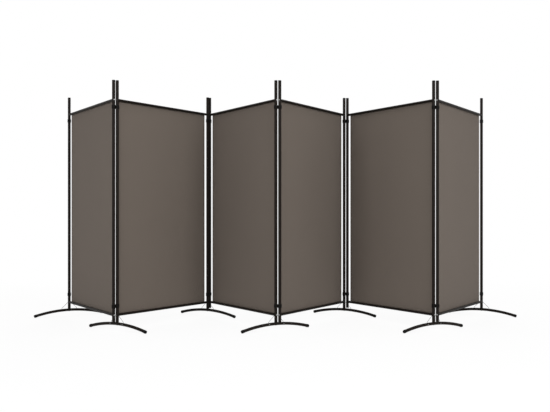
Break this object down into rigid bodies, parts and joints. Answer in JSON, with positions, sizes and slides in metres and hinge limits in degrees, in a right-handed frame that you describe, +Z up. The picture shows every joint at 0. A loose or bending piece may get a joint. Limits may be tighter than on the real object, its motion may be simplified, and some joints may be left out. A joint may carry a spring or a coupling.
{
  "type": "folding fabric room divider",
  "caption": "Folding room divider: tube-framed fabric panels joined in a zigzag by figure-eight clips on paired posts, standing on arched tube feet.",
  "frame": {"origin": "centre of the standing object's box, on the floor", "axes": "+X along the screen from its left end to its right end, +Y away from the front, +Z up"},
  "size_m": [3.9108, 1.198, 1.8],
  "materials": {
    "frame": "satin powder coat, warm black",
    "cloth": "plain woven polyester, taupe",
    "plastic": "moulded, black",
    "zinc": "bright zinc plated"
  },
  "bodies": {
    "panel_1": {"panel_1_left_post": "frame", "panel_1_right_post": "frame", "panel_1_top_rail": "frame", "panel_1_bottom_rail": "frame", "panel_1_fabric": "cloth", "foot_1": "frame", "stay_1": "frame", "left_end_bottom_collar": "plastic", "left_end_top_collar": "plastic"},
    "panel_2": {"panel_2_left_post": "frame", "panel_2_right_post": "frame", "panel_2_top_rail": "frame", "panel_2_bottom_rail": "frame", "panel_2_fabric": "cloth", "foot_2": "frame", "stay_2": "frame", "foot_3": "frame", "stay_3": "frame"},
    "panel_3": {"panel_3_left_post": "frame", "panel_3_right_post": "frame", "panel_3_top_rail": "frame", "panel_3_bottom_rail": "frame", "panel_3_fabric": "cloth", "foot_4": "frame", "stay_4": "frame"},
    "panel_4": {"panel_4_left_post": "frame", "panel_4_right_post": "frame", "panel_4_top_rail": "frame", "panel_4_bottom_rail": "frame", "panel_4_fabric": "cloth", "foot_5": "frame", "stay_5": "frame"},
    "panel_5": {"panel_5_left_post": "frame", "panel_5_right_post": "frame", "panel_5_top_rail": "frame", "panel_5_bottom_rail": "frame", "panel_5_fabric": "cloth", "foot_6": "frame", "stay_6": "frame"},
    "panel_6": {"panel_6_left_post": "frame", "panel_6_right_post": "frame", "panel_6_top_rail": "frame", "panel_6_bottom_rail": "frame", "panel_6_fabric": "cloth", "foot_7": "frame", "stay_7": "frame", "right_end_bottom_collar": "plastic", "right_end_top_collar": "plastic"},
    "hinge_1": {"hinge_1_bottom_clip": "plastic", "hinge_1_top_clip": "plastic"},
    "hinge_2": {"hinge_2_bottom_clip": "plastic", "hinge_2_top_clip": "plastic"},
    "hinge_3": {"hinge_3_bottom_clip": "plastic", "hinge_3_top_clip": "plastic"},
    "hinge_4": {"hinge_4_bottom_clip": "plastic", "hinge_4_top_clip": "plastic"},
    "hinge_5": {"hinge_5_bottom_clip": "plastic", "hinge_5_top_clip": "plastic"}
  },
  "joints": [
    {"name": "hinge_1_turn", "type": "hinge", "parent": "panel_2", "child": "hinge_1", "pos_m": [-1.14271, -0.42449, 0.175], "axis": [0, 0, 1], "range_deg": [-20, 19.8]},
    {"name": "panel_1_fold", "type": "hinge", "parent": "hinge_1", "child": "panel_1", "pos_m": [-1.16564, -0.44055, 0.175], "axis": [0, 0, 1], "range_deg": [-11, 92.4]},
    {"name": "hinge_2_turn", "type": "hinge", "parent": "panel_3", "child": "hinge_2", "pos_m": [-0.54675, 0.4205, 0.175], "axis": [0, 0, -1], "range_deg": [-6, 107]},
    {"name": "panel_2_fold", "type": "hinge", "parent": "hinge_2", "child": "panel_2", "pos_m": [-0.56281, 0.39756, 0.175], "axis": [0, 0, -1], "range_deg": [-25, 5]},
    {"name": "hinge_3_turn", "type": "hinge", "parent": "panel_3", "child": "hinge_3", "pos_m": [-0.00032, -0.42416, 0.175], "axis": [0, 0, -1], "range_deg": [0, 61.1]},
    {"name": "panel_4_fold", "type": "hinge", "parent": "hinge_3", "child": "panel_4", "pos_m": [0.02761, -0.42221, 0.175], "axis": [0, 0, -1], "range_deg": [-29, 53.6]},
    {"name": "hinge_4_turn", "type": "hinge", "parent": "panel_4", "child": "hinge_4", "pos_m": [0.56665, 0.42719, 0.175], "axis": [0, 0, 1], "range_deg": [-5, 47.6]},
    {"name": "panel_5_fold", "type": "hinge", "parent": "hinge_4", "child": "panel_5", "pos_m": [0.59423, 0.43205, 0.175], "axis": [0, 0, 1], "range_deg": [-25, 67.3]},
    {"name": "hinge_5_turn", "type": "hinge", "parent": "panel_5", "child": "hinge_5", "pos_m": [1.13771, -0.41451, 0.175], "axis": [0, 0, -1], "range_deg": [0, 61.3]},
    {"name": "panel_6_fold", "type": "hinge", "parent": "hinge_5", "child": "panel_6", "pos_m": [1.16564, -0.41256, 0.175], "axis": [0, 0, -1], "range_deg": [-29, 53.4]}
  ]
}
